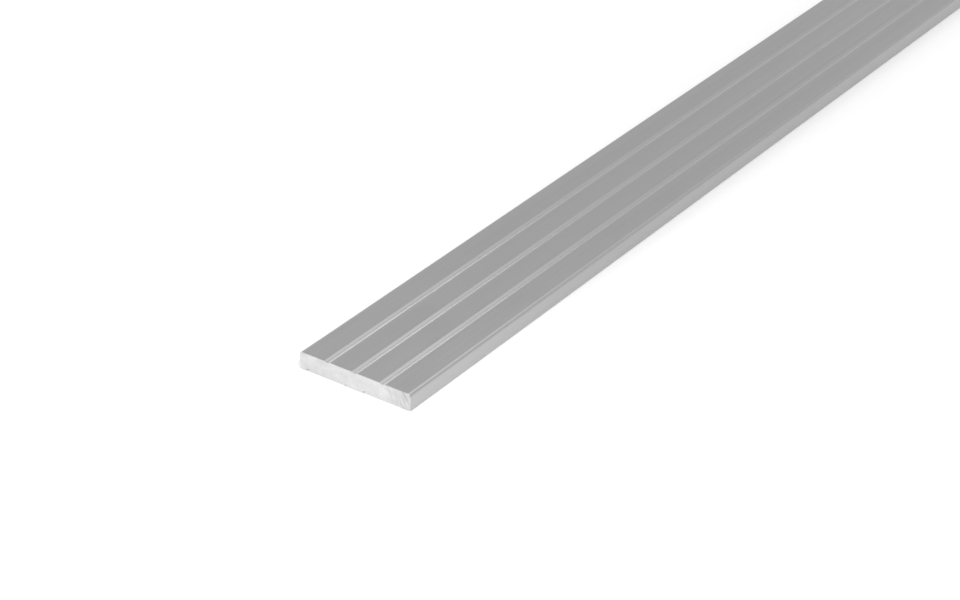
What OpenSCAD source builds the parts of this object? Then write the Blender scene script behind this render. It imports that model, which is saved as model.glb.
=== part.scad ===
// Flat aluminium threshold strip with three V-shaped grip grooves, held down by two foam tapes.
// Frame: origin on the floor under the middle of the strip, Y along the strip, Z up.

/* [Strip] */
// Length of the strip, cut to suit the door opening
strip_l = 900; // [300:1:2500]
// Width of the strip
strip_w = 35; // [34:1:60]
// Thickness of the aluminium
strip_t = 5; // [4:0.5:8]
// Radius along the two top edges
top_edge_r = 0.8; // [0.2:0.1:1]
// Radius along the two bottom edges
bottom_edge_r = 0.3; // [0.1:0.1:0.6]

/* [Grip grooves] */
// Distance between neighbouring groove centrelines
groove_pitch = 8.75; // [6:0.25:10]
// Width of a groove at the top face
groove_w = 1.8; // [1.6:0.1:3]
// Depth of a groove at its bottom
groove_d = 0.3; // [0.2:0.05:0.8]

/* [Tape channels] */
// Distance between the centrelines of the two underside channels
channel_spacing = 18; // [14:1:20]
// Depth of a channel
channel_d = 0.45; // [0.3:0.05:0.5]

/* [Adhesive tape] */
// Width of a foam tape
tape_w = 12; // [6:1:12]
// Thickness of a foam tape
tape_t = 0.5; // [0.5:0.05:1]
// Thickness of the film liner that is peeled off before fixing
liner_t = 0.05; // [0.05:0.05:0.2]
// Gap between a tape's edge and its channel's wall
tape_gap = 0.2; // [0.1:0.05:0.3]

/* [Hidden] */
SIDES = [-1, 1];
GROOVE_ROWS = [-1, 0, 1];
LEFT = -1;
RIGHT = 1;
ARC_SIDES = 64;
// Length that a cutter runs past the surface it opens
CUT_PAST = 1;
// Height of the aluminium's underside above the floor, while the liners are on
strip_z = liner_t + tape_t - channel_d;
channel_w = tape_w + 2 * tape_gap;

// Runs a cross-section drawn in X and Z along the whole strip.
module along_strip() {
    rotate([90, 0, 0])
        linear_extrude(strip_l, center = true)
            children();
}

// A bar's cross-section, with its top and bottom corners rounded to their own radii.
module bar_outline() {
    translate([-strip_w / 2, bottom_edge_r])
        square([strip_w, strip_t - top_edge_r - bottom_edge_r]);
    translate([-strip_w / 2 + top_edge_r, strip_t / 2])
        square([strip_w - 2 * top_edge_r, strip_t / 2]);
    translate([-strip_w / 2 + bottom_edge_r, 0])
        square([strip_w - 2 * bottom_edge_r, strip_t / 2]);
    for (side = SIDES) {
        translate([side * (strip_w / 2 - top_edge_r), strip_t - top_edge_r])
            circle(top_edge_r, $fn = ARC_SIDES);
        translate([side * (strip_w / 2 - bottom_edge_r), bottom_edge_r])
            circle(bottom_edge_r, $fn = ARC_SIDES);
    }
}

// The V-shaped cutter of one groove, which runs on above the top face.
module groove_outline() {
    half_w = groove_w / 2;
    polygon([
        [0, strip_t - groove_d],
        [half_w, strip_t],
        [half_w, strip_t + CUT_PAST],
        [-half_w, strip_t + CUT_PAST],
        [-half_w, strip_t]
    ]);
}

// The shallow slot that locates one tape.
module channel_outline() {
    translate([-channel_w / 2, -CUT_PAST])
        square([channel_w, channel_d + CUT_PAST]);
}

// A flat band under one side of the strip, from bottom to bottom + thickness.
module band(side, bottom, thickness) {
    along_strip()
        translate([side * channel_spacing / 2 - tape_w / 2, bottom])
            square([tape_w, thickness]);
}

module strip_extrusion() {
    color([0.66, 0.66, 0.67])
        translate([0, 0, strip_z])
            along_strip()
                difference() {
                    bar_outline();
                    for (row = GROOVE_ROWS)
                        translate([row * groove_pitch, 0])
                            groove_outline();
                    for (side = SIDES)
                        translate([side * channel_spacing / 2, 0])
                            channel_outline();
                }
}

module tape(side) {
    color([0.84, 0.84, 0.83])
        band(side, liner_t, tape_t);
}

module liner(side) {
    color([0.9, 0.9, 0.89])
        band(side, 0, liner_t);
}

strip_extrusion();
tape(LEFT);  // tape_left
tape(RIGHT);  // tape_right
liner(LEFT);  // liner_left
liner(RIGHT);  // liner_right
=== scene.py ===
"""The looks of the threshold strip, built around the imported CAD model. Lengths are in metres."""
import math

import bmesh
import bpy
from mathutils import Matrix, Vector


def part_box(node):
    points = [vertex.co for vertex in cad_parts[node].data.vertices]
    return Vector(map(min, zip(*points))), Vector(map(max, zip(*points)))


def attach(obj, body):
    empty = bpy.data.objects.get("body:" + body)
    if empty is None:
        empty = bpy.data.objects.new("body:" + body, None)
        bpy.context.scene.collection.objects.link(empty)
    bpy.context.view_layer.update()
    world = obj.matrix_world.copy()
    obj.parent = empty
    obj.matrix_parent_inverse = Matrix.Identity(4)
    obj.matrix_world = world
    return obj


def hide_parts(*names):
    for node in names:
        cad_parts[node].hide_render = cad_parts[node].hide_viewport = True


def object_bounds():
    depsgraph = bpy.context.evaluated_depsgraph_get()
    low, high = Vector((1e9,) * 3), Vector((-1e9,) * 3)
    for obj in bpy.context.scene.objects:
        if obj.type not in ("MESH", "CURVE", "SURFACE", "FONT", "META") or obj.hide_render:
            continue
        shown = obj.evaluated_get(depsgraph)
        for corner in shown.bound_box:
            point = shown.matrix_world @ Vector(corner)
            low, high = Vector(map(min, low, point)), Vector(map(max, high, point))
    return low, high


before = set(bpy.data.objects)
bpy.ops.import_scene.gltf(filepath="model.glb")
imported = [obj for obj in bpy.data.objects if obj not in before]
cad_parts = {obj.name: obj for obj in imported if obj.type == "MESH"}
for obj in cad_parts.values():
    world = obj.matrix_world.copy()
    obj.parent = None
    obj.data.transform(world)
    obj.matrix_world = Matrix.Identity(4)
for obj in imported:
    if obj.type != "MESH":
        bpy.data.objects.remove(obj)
cad_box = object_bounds()

MM = 0.001

# ---------- the strip's section, as in the CAD model ----------

GROOVE_ROWS = (-1, 0, 1)
GROOVE_PITCH = 8.75 * MM
GROOVE_W = 1.8 * MM
GROOVE_D = 0.3 * MM
TOP_EDGE_R = 0.8 * MM
BOTTOM_EDGE_R = 0.3 * MM
CHANNEL_D = 0.45 * MM
TAPE_GAP = 0.2 * MM

# ---------- what the looks add to it ----------

# Softness of a groove's lips and of its bottom
LIP_R = 0.04 * MM
BOTTOM_R = 0.12 * MM
# Where the lips' softness fades out, in groove widths from the groove's middle
LIP_FADE = (0.7, 0.95)
# The band of each top edge that carries the same painted highlight as the grooves, measured in from the
# side
HIGHLIGHT_SHOULDER = (0.25 * MM, 0.8 * MM)
# Sideways run of a tape channel's wall
CHANNEL_WALL = 0.03 * MM

# How finely the strip is divided: cells across a groove and beyond each of its lips, round a quarter of an
# edge, up a sawn end, and the steps across and along the strip
ARC_STEPS = 16
LIP_STEPS = 4
EDGE_STEPS = 20
END_ROWS = 26
ACROSS_STEP = 0.12 * MM
LENGTH_STEP = 15.0 * MM
# Distances from an end at which the long faces are divided, all past the saw's deepest mark
END_STATIONS = (0.3 * MM, 0.36 * MM, 0.45 * MM, 0.6 * MM, 0.9 * MM, 1.5 * MM, 3.2 * MM)

# How far inside the CAD's ends the cut faces lie, so that no mark passes them, and how much further in
# the rim of the strip's own cut faces is
END_RECESS = 0.13 * MM
RIM_RECESS = 0.04 * MM
# How far in from an end the rolled edge starts and fades out, the least and most that it lowers the top,
# the length in which its wave turns one radian, and how much it raises the underside
ROLL_FROM, ROLL_TO = 0.25 * MM, 0.6 * MM
ROLL_LEAST, ROLL_MOST = 0.03 * MM, 0.08 * MM
ROLL_WAVE = 0.9 * MM
ROLL_UNDER = 0.04 * MM

# The saw: the blade's arcs cross the sawn ends. The marks keep a share of their depth where the blade
# enters, and deepen between these shares of the half width towards the side it left by
BLADE_R = 125.0 * MM
BLADE_DROP = 48.0 * MM
SAW_DEPTH = 0.1 * MM
SAW_ENTRY_SHARE = 0.12
SAW_DEEPENING = (0.5, 0.85)
# Distance between the marks, their crest as a share of their depth, and the finer marks over them
SAW_PITCH = 1.7 * MM
SAW_CREST = -0.2
FINE_SAW_PITCH = 0.7 * MM
FINE_SAW_SHARE = 0.15
FINE_SAW_PHASE = 0.7
# The painted shade of the saw's scores in the sawn finish: their width, their length, and where across the
# strip they come in
SCORE_W = 0.55 * MM
SCORE_L = 6.0 * MM
SCORE_FROM, SCORE_TO = 9.0 * MM, 14.0 * MM
# The levels of the noise between which a score's painted shade deepens, how much of it lies between two
# scores, how faint the faintest scores are, and how much the painted shade darkens the sawn finish
SCORE_ONSET, SCORE_FULL = 0.5, 0.66
SCORE_BETWEEN = 0.25
SCORE_FAINTEST = 0.1
SCORE_SHADE = 0.55

# The tapes and liners: the radius of their side edges and how much of it shows, their divisions, and the
# length in which the wave of a cut end turns one radian
BAND_EDGE_R = 0.2 * MM
BAND_EDGE_SHARE = 0.8
BAND_EDGE_STEPS = 4
BAND_COLUMNS = 12
BAND_ROWS = 6
BAND_STATIONS = (0.4 * MM, 0.7 * MM, 2.0 * MM)
BAND_STEP = 10.0 * MM
BAND_WAVE = 1.3 * MM
# How far a tape's cut end bulges at mid height, and how unevenly tapes and liners are cut
TAPE_BULGE = 0.03 * MM
TAPE_WANDER = 0.05 * MM
LINER_WANDER = 0.04 * MM

# ---------- the studio ----------

FLOOR_HALF = 400.0
FLOOR_GLOW = 0.3
# The room from the horizon, 0, to straight up, 1, as heights and the radiance there: a white wall, a grey
# band that the flat lands mirror, a bright band that the grooves' left flanks mirror, and a dim ceiling
WALL_FOOT, WALL_TOP = (0.0, 1.02), (0.3, 1.05)
GREY_BAND, BRIGHT_BAND, CEILING = (0.5, 0.62), (0.72, 1.1), (1.0, 0.4)
ROOM = (WALL_FOOT, WALL_TOP, GREY_BAND, BRIGHT_BAND, CEILING)
# The camera: where it stands round the strip in degrees, its lens, and its distance
CAMERA_AZIMUTH = 35.7
CAMERA_ELEVATION = 30.5
CAMERA_LENS = 96.5
CAMERA_SENSOR = 36.0
CAMERA_DISTANCE = 0.681
# It looks at a point level with the strip's underside, this far along from the near end and across
LOOK_ALONG = 54.2 * MM
LOOK_ACROSS = -0.3 * MM


# ---------- small helpers ----------

def smooth(low, high, value):
    """0 below low, 1 above high, and a smooth step between them."""
    t = min(max((value - low) / (high - low), 0.0), 1.0)
    return t * t * (3.0 - 2.0 * t)


def ripple(t, phase=0.0):
    """A smooth irregular wave between about -1 and 1, the same on every run."""
    wave = math.sin(t + phase) + 0.6 * math.sin(2.17 * t + 1.3 + 2.0 * phase)
    wave += 0.35 * math.sin(4.71 * t + 0.4 - phase) + 0.2 * math.sin(9.3 * t + 2.2 + phase)
    return wave / 2.15


def merged(values, apart=0.004 * MM):
    """The values in order, leaving out any that almost repeats the one before it. Both ends stay."""
    ordered = sorted(values)
    kept = []
    for value in ordered:
        if not kept or value - kept[-1] > apart:
            kept.append(value)
    kept[-1] = ordered[-1]
    return kept


def stations(low, high, end_steps, step):
    """Places along a length, close together near both ends."""
    places = [low, high]
    places += [low + d for d in end_steps] + [high - d for d in end_steps]
    count = max(1, round((high - low) / step))
    inner = [low + (high - low) * i / count for i in range(1, count)]
    clear = 2 * end_steps[-1]
    places += [y for y in inner if low + clear < y < high - clear]
    return merged(places)


# ---------- a closed skin over a bent box grid ----------

def skin(name, counts, place, material_of):
    """A closed mesh over the outside of a grid of counts cells. place(i, j, k) gives each point.

    material_of(side, i) gives the material slot of a cell in column i of a side.
    """
    bm = bmesh.new()
    across, along, up = counts
    points = {}

    def vertex(i, j, k):
        key = (i, j, k)
        if key not in points:
            points[key] = bm.verts.new(place(i, j, k))
        return points[key]

    def cell(corners, side):
        face = bm.faces.new([vertex(*c) for c in corners])
        face.material_index = material_of(side, corners[0][0])
        face.smooth = True

    for i in range(across):
        for j in range(along):
            cell([(i, j, 0), (i, j + 1, 0), (i + 1, j + 1, 0), (i + 1, j, 0)], "under")
            cell([(i, j, up), (i + 1, j, up), (i + 1, j + 1, up), (i, j + 1, up)], "top")
    for j in range(along):
        for k in range(up):
            cell([(0, j, k), (0, j, k + 1), (0, j + 1, k + 1), (0, j + 1, k)], "left")
            cell([(across, j, k), (across, j + 1, k), (across, j + 1, k + 1), (across, j, k + 1)], "right")
    for i in range(across):
        for k in range(up):
            cell([(i, 0, k), (i + 1, 0, k), (i + 1, 0, k + 1), (i, 0, k + 1)], "near")
            cell([(i, along, k), (i, along, k + 1), (i + 1, along, k + 1), (i + 1, along, k)], "far")
    mesh = bpy.data.meshes.new(name)
    bm.to_mesh(mesh)
    bm.free()
    piece = bpy.data.objects.new(name, mesh)
    bpy.context.scene.collection.objects.link(piece)
    return piece


def end_sign(j, last_j):
    """1 at the near end, -1 at the far end, and 0 between them: the way from an end into the strip."""
    if j == 0:
        return 1
    return -1 if j == last_j else 0


def fit_piece(piece, node, materials, sharp_above):
    """Gives a piece its finish, with creases above an angle in degrees, and puts it in its node's place."""
    piece.data.set_sharp_from_angle(angle=math.radians(sharp_above))
    for material in materials:
        piece.data.materials.append(material)
    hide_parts(node)
    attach(piece, "root")
    return piece


# ---------- the aluminium strip ----------

def groove_depth(off):
    """Depth of a V groove at a distance off from its middle, below zero outside the groove."""
    slope = GROOVE_D / (GROOVE_W / 2)
    return slope * (GROOVE_W / 2 - math.hypot(off, BOTTOM_R) + BOTTOM_R / 2)


def edge_drop(from_edge, radius):
    """How far a rounded edge lies below its face, at a distance in from the side."""
    if from_edge >= radius:
        return 0.0
    return radius - math.sqrt(max(radius ** 2 - (radius - from_edge) ** 2, 0.0))


def soft_floor(value, radius):
    """The value where it is well above zero, easing to zero below it as a small rounded corner does."""
    return (value + math.sqrt(value ** 2 + radius ** 2)) / 2


def top_drop(x, half_w):
    """How far the top surface lies below the lands, across the strip."""
    drop = edge_drop(half_w - abs(x), TOP_EDGE_R)
    for row in GROOVE_ROWS:
        off = abs(x - row * GROOVE_PITCH)
        if off < GROOVE_W:
            kept = 1 - smooth(LIP_FADE[0] * GROOVE_W, LIP_FADE[1] * GROOVE_W, off)
            drop = max(drop, soft_floor(groove_depth(off), LIP_R) * kept)
    return drop


def under_rise(x, half_w, channels):
    """How far the underside lies above its lowest lands, across the strip."""
    rise = edge_drop(half_w - abs(x), BOTTOM_EDGE_R)
    for low, high in channels:
        inside = min(x - low, high - x)
        rise = max(rise, CHANNEL_D * min(max(inside / CHANNEL_WALL, 0.0), 1.0))
    return rise


def strip_columns(half_w, channels):
    """Places across the strip: even steps, with more round each arc and channel wall."""
    columns = [-half_w, half_w]
    count = round(2 * half_w / ACROSS_STEP)
    columns += [-half_w + 2 * half_w * i / count for i in range(1, count)]
    for step in range(EDGE_STEPS + 1):
        turn = 0.5 * math.pi * step / EDGE_STEPS
        for radius in (TOP_EDGE_R, BOTTOM_EDGE_R):
            inset = radius * (1 - math.sin(turn))
            columns += [half_w - inset, -half_w + inset]
    for row in GROOVE_ROWS:
        for step in range(-LIP_STEPS, ARC_STEPS + LIP_STEPS + 1):
            columns.append(row * GROOVE_PITCH + GROOVE_W * (step / ARC_STEPS - 0.5))
    for low, high in channels:
        columns += [low, low + CHANNEL_WALL, high - CHANNEL_WALL, high]
    return merged(columns)


def saw_mark(x, z, half_w):
    """Depth of the blade's arcs at a point of a sawn end."""
    along = x - math.sqrt(BLADE_R ** 2 - (z + BLADE_DROP) ** 2)
    leaving = smooth(SAW_DEEPENING[0] * half_w, SAW_DEEPENING[1] * half_w, x)
    share = SAW_ENTRY_SHARE + (1 - SAW_ENTRY_SHARE) * leaving
    marks = max(ripple(along * 2 * math.pi / SAW_PITCH), SAW_CREST)
    fine = FINE_SAW_SHARE * ripple(along * 2 * math.pi / FINE_SAW_PITCH, FINE_SAW_PHASE)
    return SAW_DEPTH * share * (marks + fine)


# The strip's material slots, in order. The second and fourth are lighter copies of the satin metal: painted
# highlight on the grooves and edge shoulders, and painted light on the sides
SATIN, PAINTED_HIGHLIGHT, SAWN, PAINTED_SIDE_LIGHT = range(4)


def strip_materials():
    """The strip's materials, one for each of its material slots; two of them are lighter copies of the
    satin metal that carry painted light.
    """
    return (
        drawn_aluminium("satin_aluminium", dark=0.36, light=0.4, smoothest=0.33, roughest=0.41),
        # A lighter copy of the satin metal for the grooves and edge shoulders: a painted highlight, not a
        # different finish
        drawn_aluminium("painted_highlight_aluminium", dark=0.412, light=0.453, smoothest=0.36, roughest=0.42),
        sawn_aluminium(),
        # A lighter copy of the satin metal for the sides: painted light standing in for the floor's
        # reflection
        drawn_aluminium("side_aluminium_painted_light", dark=0.43, light=0.47, smoothest=0.33, roughest=0.41),
    )


def build_strip():
    """The bar, with soft grooves, rounded edges, tape channels and sawn ends."""
    low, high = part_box("strip_extrusion")
    half_w = (high.x - low.x) / 2
    thick = high.z - low.z
    channels = []
    for name in ("tape_left", "tape_right"):
        tape_low, tape_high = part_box(name)
        channels.append((tape_low.x - TAPE_GAP, tape_high.x + TAPE_GAP))
    xs = strip_columns(half_w, channels)
    ys = stations(low.y, high.y, END_STATIONS, LENGTH_STEP)
    tops = [thick - top_drop(x, half_w) for x in xs]
    unders = [under_rise(x, half_w, channels) for x in xs]
    last_i, last_j = len(xs) - 1, len(ys) - 1

    def place(i, j, k):
        x = xs[i]
        y = ys[j]
        z = unders[i] + (tops[i] - unders[i]) * k / END_ROWS
        roll = 1.0 - smooth(ROLL_FROM, ROLL_TO, min(y - low.y, high.y - y))
        sign = end_sign(j, last_j)
        if sign:
            y += sign * (END_RECESS + saw_mark(x, z, half_w))
            if k in (0, END_ROWS) or i in (0, last_i):
                y += sign * RIM_RECESS
        if k == END_ROWS:
            wave = 0.5 + 0.5 * ripple(x / ROLL_WAVE)
            z -= roll * (ROLL_LEAST + (ROLL_MOST - ROLL_LEAST) * wave)
        if k == 0:
            z += roll * ROLL_UNDER
        return (x, y, low.z + z)

    def finish_of(side, i):
        if side in ("near", "far"):
            return SAWN
        # The sides take the lighter copy with painted light
        if side in ("left", "right"):
            return PAINTED_SIDE_LIGHT
        # Grooves and edge shoulders on top take the lighter copy with the painted highlight
        middle = (xs[i + 1] + xs[i]) / 2
        in_groove = any(abs(middle - row * GROOVE_PITCH) < GROOVE_W / 2 for row in GROOVE_ROWS)
        on_shoulder = HIGHLIGHT_SHOULDER[0] < half_w - abs(middle) < HIGHLIGHT_SHOULDER[1]
        return PAINTED_HIGHLIGHT if side == "top" and (in_groove or on_shoulder) else SATIN

    piece = skin("aluminium_strip", (last_i, last_j, END_ROWS), place, finish_of)
    return fit_piece(piece, "strip_extrusion", strip_materials(), sharp_above=32)


# ---------- tapes and liners ----------

def build_band(name, node, material, bulge, wander):
    """A thin band under the strip, with soft side edges and a cut end that wanders slightly."""
    low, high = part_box(node)
    width = high.x - low.x
    thick = high.z - low.z
    edge = min(thick * 0.5, BAND_EDGE_R)
    turns = [0.5 * math.pi * n / BAND_EDGE_STEPS for n in range(BAND_EDGE_STEPS + 1)]
    steps = [edge * (1 - math.cos(turn)) for turn in turns]
    inner = [width * n / BAND_COLUMNS for n in range(1, BAND_COLUMNS)]
    xs = merged([low.x + s for s in steps + inner] + [high.x - s for s in steps])
    ys = stations(low.y, high.y, BAND_STATIONS, BAND_STEP)
    last_j = len(ys) - 1

    def place(i, j, k):
        x = xs[i]
        y = ys[j]
        inset = edge_drop(min(x - low.x, high.x - x), edge) * BAND_EDGE_SHARE
        share = k / BAND_ROWS
        z = low.z + inset + (thick - 2 * inset) * share
        from_middle = 1 - 4 * share * (1 - share)
        uneven = wander * (0.5 + 0.5 * ripple(x / BAND_WAVE))
        y += end_sign(j, last_j) * (END_RECESS + uneven + bulge * from_middle)
        return (x, y, z)

    piece = skin(name, (len(xs) - 1, last_j, BAND_ROWS), place, lambda side, i: 0)
    return fit_piece(piece, node, [material], sharp_above=40)


def build_tapes():
    """The two foam tapes and the release liner under each."""
    foam = foam_material()
    film = liner_material()
    bands = []
    for side in ("left", "right"):
        tape = build_band("foam_tape_" + side, "tape_" + side, foam, TAPE_BULGE, TAPE_WANDER)
        liner = build_band("film_liner_" + side, "liner_" + side, film, 0.0, LINER_WANDER)
        bands += [tape, liner]
    return bands


# ---------- materials ----------

def new_material(name):
    """An empty node material with a Principled shader: (material, tree, shader)."""
    material = bpy.data.materials.new(name)
    material.use_nodes = True
    tree = material.node_tree
    tree.nodes.clear()
    out = tree.nodes.new("ShaderNodeOutputMaterial")
    shader = tree.nodes.new("ShaderNodeBsdfPrincipled")
    tree.links.new(shader.outputs["BSDF"], out.inputs["Surface"])
    return material, tree, shader


def object_point(tree, scale):
    """The point on the piece in its own metres, stretched by scale."""
    place = tree.nodes.new("ShaderNodeTexCoord")
    mapping = tree.nodes.new("ShaderNodeMapping")
    mapping.inputs["Scale"].default_value = scale
    tree.links.new(place.outputs["Object"], mapping.inputs["Vector"])
    return mapping.outputs["Vector"]


def noise_at(tree, point, detail, roughness=0.55):
    """A noise pattern whose features are one unit across, read at a point."""
    node = tree.nodes.new("ShaderNodeTexNoise")
    node.inputs["Scale"].default_value = 1.0
    node.inputs["Detail"].default_value = detail
    node.inputs["Roughness"].default_value = roughness
    tree.links.new(point, node.inputs["Vector"])
    return node.outputs["Fac"]


def noise(tree, scale, detail, roughness=0.55):
    """A noise pattern over the piece whose features are 1/scale metres along each axis."""
    return noise_at(tree, object_point(tree, scale), detail, roughness)


def spread(tree, value, low, high, from_low=0.3, from_high=0.7):
    """Maps the stretch of a pattern between from_low and from_high onto low to high."""
    node = tree.nodes.new("ShaderNodeMapRange")
    node.inputs["From Min"].default_value = from_low
    node.inputs["From Max"].default_value = from_high
    node.inputs["To Min"].default_value = low
    node.inputs["To Max"].default_value = high
    tree.links.new(value, node.inputs["Value"])
    return node.outputs["Result"]


def maths(tree, operation, first, second):
    """The result of one Math node. Each of the two values is a number or a socket."""
    node = tree.nodes.new("ShaderNodeMath")
    node.operation = operation
    for socket, value in zip(node.inputs, (first, second)):
        if isinstance(value, (int, float)):
            socket.default_value = value
        else:
            tree.links.new(value, socket)
    return node.outputs["Value"]


def mean(tree, first, second):
    """The mean of two patterns."""
    return maths(tree, "MULTIPLY", maths(tree, "ADD", first, second), 0.5)


def ramp(tree, value, low, high, from_low=0.3, from_high=0.7):
    """Runs the stretch of a pattern between from_low and from_high from one colour to another."""
    node = tree.nodes.new("ShaderNodeValToRGB")
    node.color_ramp.elements[0].position = from_low
    node.color_ramp.elements[0].color = (*low, 1)
    node.color_ramp.elements[1].position = from_high
    node.color_ramp.elements[1].color = (*high, 1)
    tree.links.new(value, node.inputs["Fac"])
    return node.outputs["Color"]


def bumped(tree, height, distance):
    """A surface raised by a pattern, up to distance."""
    node = tree.nodes.new("ShaderNodeBump")
    node.inputs["Strength"].default_value = 1.0
    node.inputs["Distance"].default_value = distance
    tree.links.new(height, node.inputs["Height"])
    return node.outputs["Normal"]


def drawn_aluminium(name, dark, light, smoothest, roughest):
    """Drawn faces: die lines run lengthwise, with a faint mottle across them."""
    material, tree, shader = new_material(name)
    lines = noise(tree, (5200.0, 9.0, 5200.0), detail=4.0)
    broad = noise(tree, (600.0, 2.5, 600.0), detail=2.0)
    mottle = noise(tree, (140.0, 60.0, 140.0), detail=4.0)
    colour = ramp(tree, mean(tree, lines, broad), (dark,) * 3, (light,) * 3)
    tree.links.new(colour, shader.inputs["Base Color"])
    tree.links.new(spread(tree, mottle, smoothest, roughest), shader.inputs["Roughness"])
    tree.links.new(bumped(tree, lines, 0.004 * MM), shader.inputs["Normal"])
    shader.inputs["Metallic"].default_value = 1.0
    return material


def painted_score_shade(tree):
    """Painted shade of the saw's scores: 1 in the scores along the blade's arcs and less between them,
    fading out away from +X.
    """
    place = tree.nodes.new("ShaderNodeTexCoord")
    split = tree.nodes.new("ShaderNodeSeparateXYZ")
    tree.links.new(place.outputs["Object"], split.inputs["Vector"])
    above = maths(tree, "ADD", split.outputs["Z"], BLADE_DROP)
    leg = maths(tree, "SUBTRACT", BLADE_R ** 2, maths(tree, "POWER", above, 2.0))
    along = maths(tree, "SUBTRACT", split.outputs["X"], maths(tree, "POWER", leg, 0.5))
    arcs = tree.nodes.new("ShaderNodeCombineXYZ")
    tree.links.new(maths(tree, "MULTIPLY", along, 1.0 / SCORE_W), arcs.inputs["X"])
    tree.links.new(maths(tree, "MULTIPLY", split.outputs["Z"], 1.0 / SCORE_L), arcs.inputs["Y"])
    streaks = noise_at(tree, arcs.outputs["Vector"], detail=2.0, roughness=0.5)
    dark = spread(tree, streaks, SCORE_BETWEEN, 1.0, SCORE_ONSET, SCORE_FULL)
    reach = spread(tree, split.outputs["X"], SCORE_FAINTEST, 1.0, SCORE_FROM, SCORE_TO)
    return maths(tree, "MULTIPLY", dark, reach)


def sawn_aluminium():
    """Freshly cut ends: brighter and rougher than the drawn faces, with painted shade in scores along the
    blade's arcs.
    """
    material, tree, shader = new_material("sawn_aluminium")
    grain = noise(tree, (900.0, 900.0, 900.0), detail=5.0, roughness=0.65)
    patches = noise(tree, (260.0, 260.0, 420.0), detail=2.0)
    # Painted shade along the blade's arcs, strongest towards +X where the marks are deepest
    painted_shade = maths(tree, "MULTIPLY", painted_score_shade(tree), SCORE_SHADE)
    pattern = maths(tree, "SUBTRACT", mean(tree, grain, patches), painted_shade)
    colour = ramp(tree, pattern, (0.49, 0.49, 0.493), (0.79, 0.79, 0.793), 0.0, 0.7)
    tree.links.new(colour, shader.inputs["Base Color"])
    tree.links.new(spread(tree, grain, 0.42, 0.6), shader.inputs["Roughness"])
    tree.links.new(bumped(tree, grain, 0.02 * MM), shader.inputs["Normal"])
    shader.inputs["Metallic"].default_value = 1.0
    return material


def foam_material():
    """Pale grey closed-cell foam."""
    material, tree, shader = new_material("pale_foam")
    cells = noise(tree, (9000.0, 9000.0, 9000.0), detail=2.0)
    tree.links.new(ramp(tree, cells, (0.62, 0.62, 0.615), (0.72, 0.72, 0.715)), shader.inputs["Base Color"])
    tree.links.new(spread(tree, cells, 0.75, 0.9), shader.inputs["Roughness"])
    tree.links.new(bumped(tree, cells, 0.03 * MM), shader.inputs["Normal"])
    return material


def liner_material():
    """Smooth white release film, faintly streaked along its length."""
    material, tree, shader = new_material("release_film")
    streaks = noise(tree, (900.0, 12.0, 900.0), detail=3.0)
    tree.links.new(ramp(tree, streaks, (0.74, 0.74, 0.73), (0.82, 0.82, 0.81)), shader.inputs["Base Color"])
    tree.links.new(spread(tree, streaks, 0.25, 0.36), shader.inputs["Roughness"])
    tree.links.new(bumped(tree, streaks, 0.01 * MM), shader.inputs["Normal"])
    return material


def floor_material():
    """A matt white floor that glows faintly, so that shadows on it stay light."""
    material, tree, shader = new_material("pale_floor")
    patches = noise(tree, (3.0, 3.0, 3.0), detail=2.0)
    colour = ramp(tree, patches, (0.88, 0.88, 0.88), (0.885, 0.885, 0.885))
    tree.links.new(colour, shader.inputs["Base Color"])
    shader.inputs["Roughness"].default_value = 0.9
    shader.inputs["Specular IOR Level"].default_value = 0.0
    shader.inputs["Emission Color"].default_value = (1, 1, 1, 1)
    shader.inputs["Emission Strength"].default_value = FLOOR_GLOW
    return material


# ---------- the floor, lights, room and camera ----------

def direction(azimuth, elevation):
    """Unit vector from the strip towards a place seen at that azimuth and elevation."""
    a = math.radians(azimuth)
    e = math.radians(elevation)
    return Vector((math.sin(a) * math.cos(e), -math.cos(a) * math.cos(e), math.sin(e)))


def build_floor():
    """A plain floor at the height of the liners' undersides."""
    bpy.ops.mesh.primitive_plane_add(size=2 * FLOOR_HALF, location=(0, 0, cad_box[0].z))
    floor = bpy.context.object
    floor.name = "floor"
    floor.data.materials.append(floor_material())


def area_light(name, width, depth, middle, radiance):
    """A rectangular light that the camera doesn't see. middle is its place from the top of the near end."""
    low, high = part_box("strip_extrusion")
    data = bpy.data.lights.new(name, "AREA")
    data.shape = "RECTANGLE"
    data.size = width
    data.size_y = depth
    data.energy = radiance * math.pi * width * depth
    light = bpy.data.objects.new(name, data)
    light.location = Vector((0, low.y, high.z)) + Vector(middle)
    light.visible_camera = False
    bpy.context.scene.collection.objects.link(light)
    return light


def softbox(name, low, high, height, radiance):
    """A level light over the strip. low and high are two of its corners, from the near end."""
    middle = ((low[0] + high[0]) / 2, (low[1] + high[1]) / 2, height)
    return area_light(name, high[0] - low[0], high[1] - low[1], middle, radiance)


def left_card(name, x, near, far, height, radiance):
    """An upright light that faces the strip's left side, from near to far past the near end."""
    light = area_light(name, far - near, height, (x, (near + far) / 2, height / 2), radiance)
    light.rotation_euler = (math.radians(90), 0, math.radians(-90))
    return light


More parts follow.
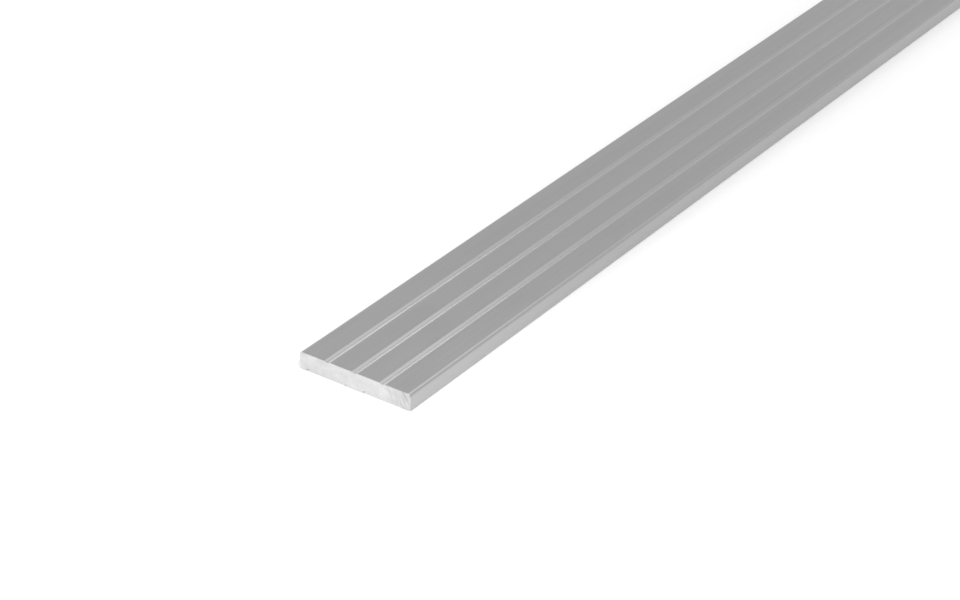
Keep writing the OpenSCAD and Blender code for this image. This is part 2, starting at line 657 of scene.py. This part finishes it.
def build_world():
    """A pale room whose radiance depends on the height alone, as ROOM gives it."""
    world = bpy.data.worlds.new("pale_room")
    world.use_nodes = True
    tree = world.node_tree
    tree.nodes.clear()
    out = tree.nodes.new("ShaderNodeOutputWorld")
    back = tree.nodes.new("ShaderNodeBackground")
    place = tree.nodes.new("ShaderNodeTexCoord")
    split = tree.nodes.new("ShaderNodeSeparateXYZ")
    shade = tree.nodes.new("ShaderNodeValToRGB")
    tree.links.new(place.outputs["Generated"], split.inputs["Vector"])
    tree.links.new(split.outputs["Z"], shade.inputs["Fac"])
    tree.links.new(shade.outputs["Color"], back.inputs["Color"])
    tree.links.new(back.outputs["Background"], out.inputs["Surface"])
    stops = shade.color_ramp.elements
    while len(stops) < len(ROOM):
        stops.new(0.5)
    for stop, (position, level) in zip(stops, ROOM):
        stop.position = position
        stop.color = (level, level, level, 1)
    bpy.context.scene.world = world


def build_camera():
    """The scene's camera, looking at the strip from its near right."""
    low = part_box("strip_extrusion")[0]
    target = Vector((LOOK_ACROSS, low.y + LOOK_ALONG, low.z))
    back = direction(CAMERA_AZIMUTH, CAMERA_ELEVATION)
    data = bpy.data.cameras.new("camera")
    data.lens = CAMERA_LENS
    data.sensor_width = CAMERA_SENSOR
    data.clip_start = 0.01
    data.clip_end = 1000.0
    camera = bpy.data.objects.new("camera", data)
    camera.location = target + back * CAMERA_DISTANCE
    camera.rotation_mode = "QUATERNION"
    camera.rotation_quaternion = (-back).to_track_quat("-Z", "Y")
    bpy.context.scene.collection.objects.link(camera)
    bpy.context.scene.camera = camera


def build_studio(pieces):
    """The room, floor, camera and lights. The overhead light and the card light the given pieces only."""
    bpy.context.scene.view_settings.view_transform = "Standard"
    build_world()
    overhead = softbox("overhead_softbox", low=(-0.08, -0.1), high=(0.2, 0.235), height=0.2, radiance=0.6)
    softbox("front_lamp", low=(0.03, -0.09), high=(0.13, 0.01), height=0.1, radiance=2.6)
    card = left_card("left_card", x=-0.3, near=-0.05, far=0.36, height=0.12, radiance=1.3)
    for light in (overhead, card):
        light.light_linking.receiver_collection = pieces
    build_floor()
    build_camera()


lit_pieces = bpy.data.collections.new("lit_pieces")
build_studio(lit_pieces)
for built in [build_strip()] + build_tapes():
    lit_pieces.objects.link(built)
